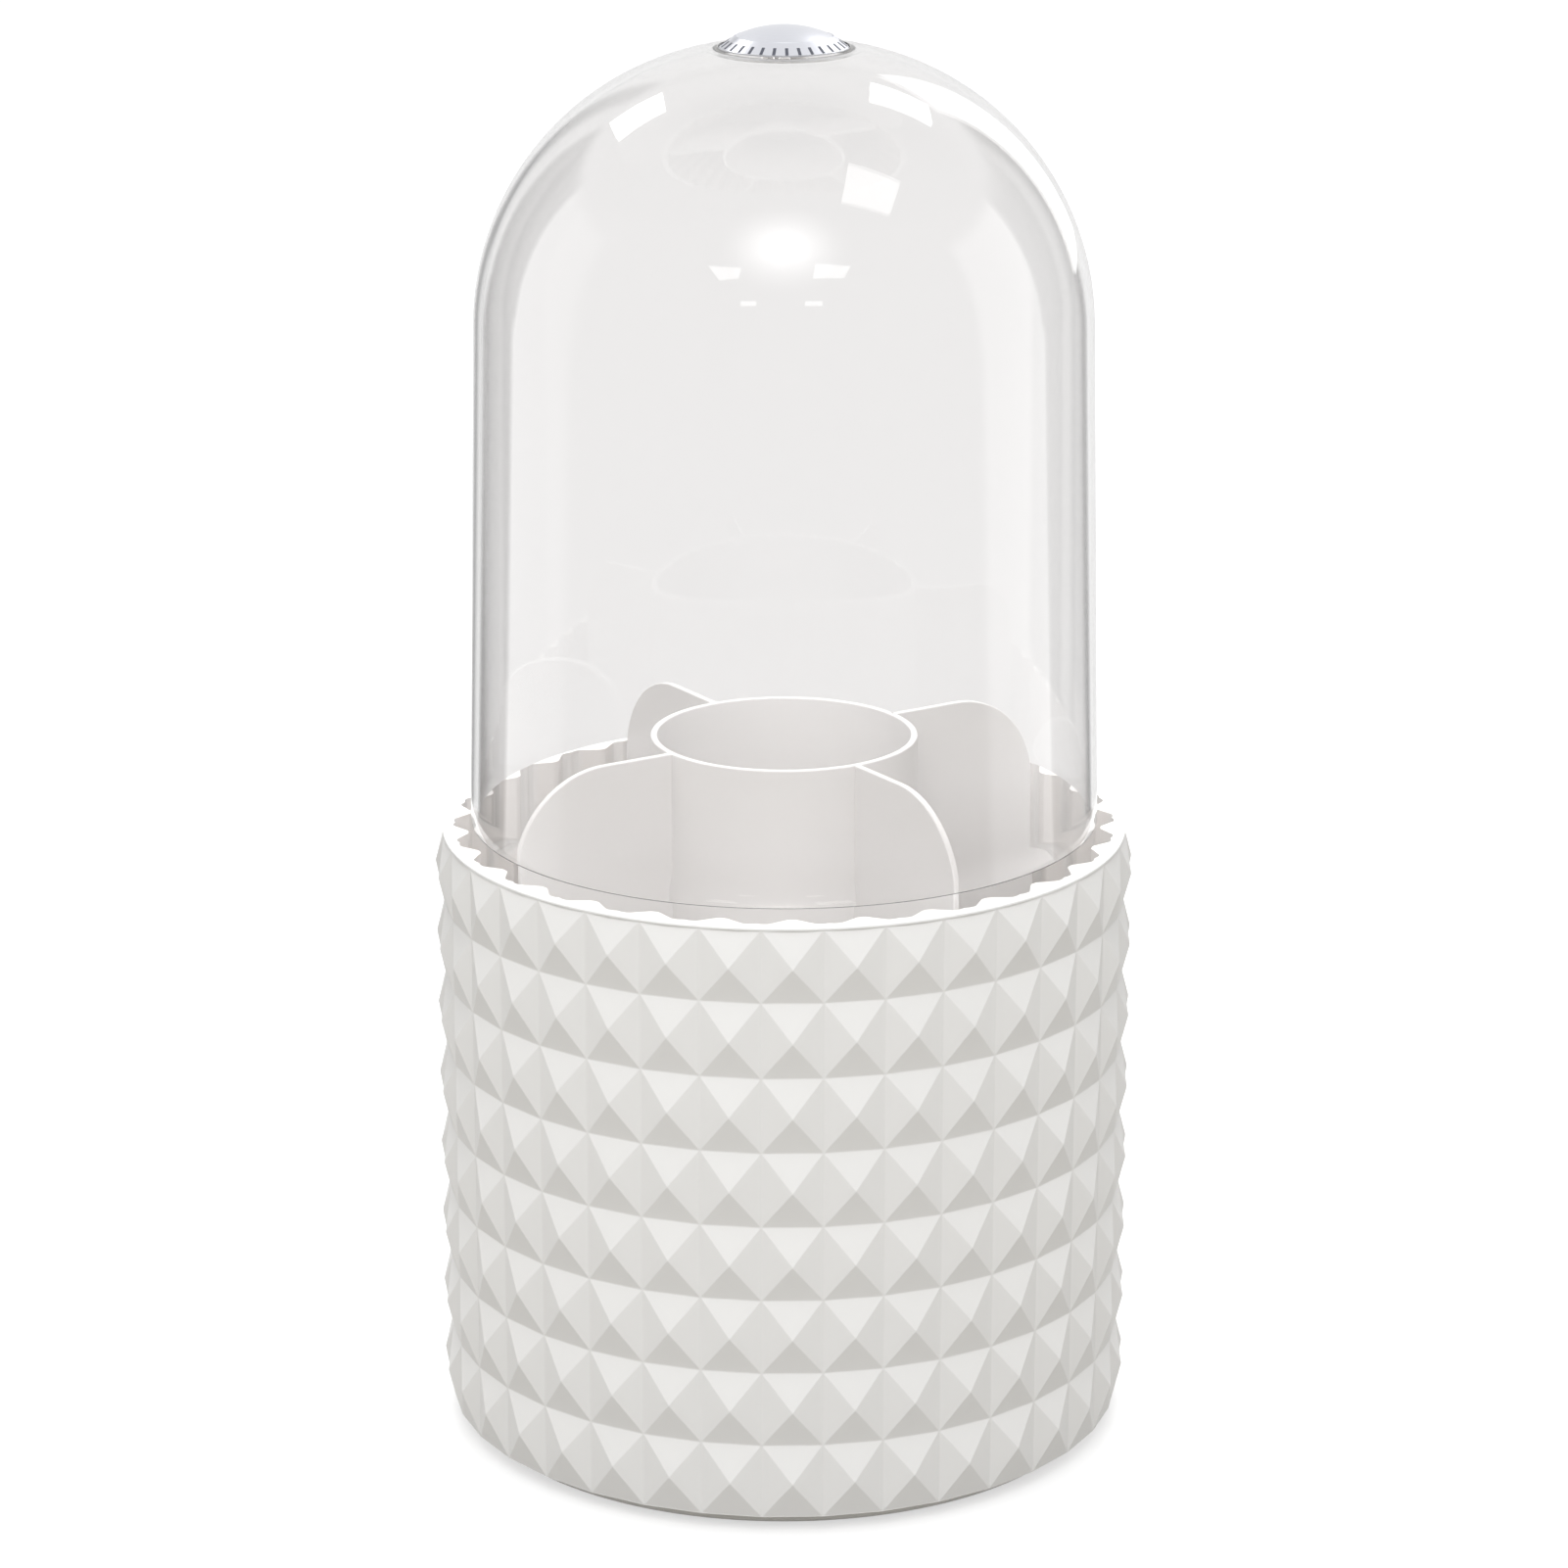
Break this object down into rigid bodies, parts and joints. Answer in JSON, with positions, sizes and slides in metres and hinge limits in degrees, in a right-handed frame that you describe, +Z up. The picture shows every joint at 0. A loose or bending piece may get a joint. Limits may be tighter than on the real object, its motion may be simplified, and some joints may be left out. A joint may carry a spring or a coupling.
{
  "type": "rotating makeup brush holder",
  "caption": "Round studded cup that turns on a ball-bearing foot, with a lift-out divider of centre tube and vanes, and a clear domed lid with a metal badge.",
  "frame": {"origin": "centre of the holder's underside, level with the table", "axes": "+Z up along the turntable's axis, vanes of the divider along X and Y"},
  "size_m": [0.125, 0.125, 0.2535],
  "materials": {
    "white_plastic": "satin white moulding",
    "white_insert": "smooth white moulding",
    "clear_plastic": "clear polished plastic",
    "badge_metal": "satin silver",
    "adhesive_foam": "thin foam tape",
    "foot_plastic": "satin white moulding",
    "pad_rubber": "soft matt",
    "race_steel": "pressed sheet",
    "plated_steel": "zinc plated",
    "ball_steel": "polished",
    "cage_plastic": "natural"
  },
  "bodies": {
    "foot": {"foot_plate": "foot_plastic", "grip_pads": "pad_rubber", "lower_race": "race_steel", "lower_race_screws": "plated_steel", "centre_bolt": "plated_steel", "pivot_washer": "plated_steel", "pivot_nut": "plated_steel"},
    "ball_ring": {"ball_cage": "cage_plastic", "bearing_balls": "ball_steel"},
    "cup": {"outer_shell": "white_plastic", "upper_race": "race_steel", "upper_race_screws": "plated_steel", "pivot_bush": "cage_plastic", "bolt_cap": "white_insert"},
    "insert": {"divider": "white_insert"},
    "lid": {"dome_lid": "clear_plastic", "badge_adhesive": "adhesive_foam", "top_badge": "badge_metal"}
  },
  "joints": [
    {"name": "turntable_spin", "type": "hinge", "parent": "foot", "child": "cup", "pos_m": [0, 0, 0.0064], "axis": [0, 0, 1], "continuous": true},
    {"name": "ball_ring_spin", "type": "hinge", "parent": "foot", "child": "ball_ring", "pos_m": [0, 0, 0.0064], "axis": [0, 0, 1], "continuous": true},
    {"name": "divider_lift", "type": "slide", "parent": "cup", "child": "insert", "axis": [0, 0, 1], "range_m": [0, 0.12]},
    {"name": "lid_lift", "type": "slide", "parent": "insert", "child": "lid", "axis": [0, 0, 1], "range_m": [0, 0.15]}
  ],
  "couplings": [
    {"joint": "ball_ring_spin", "follows": "turntable_spin", "ratio": 0.5}
  ]
}
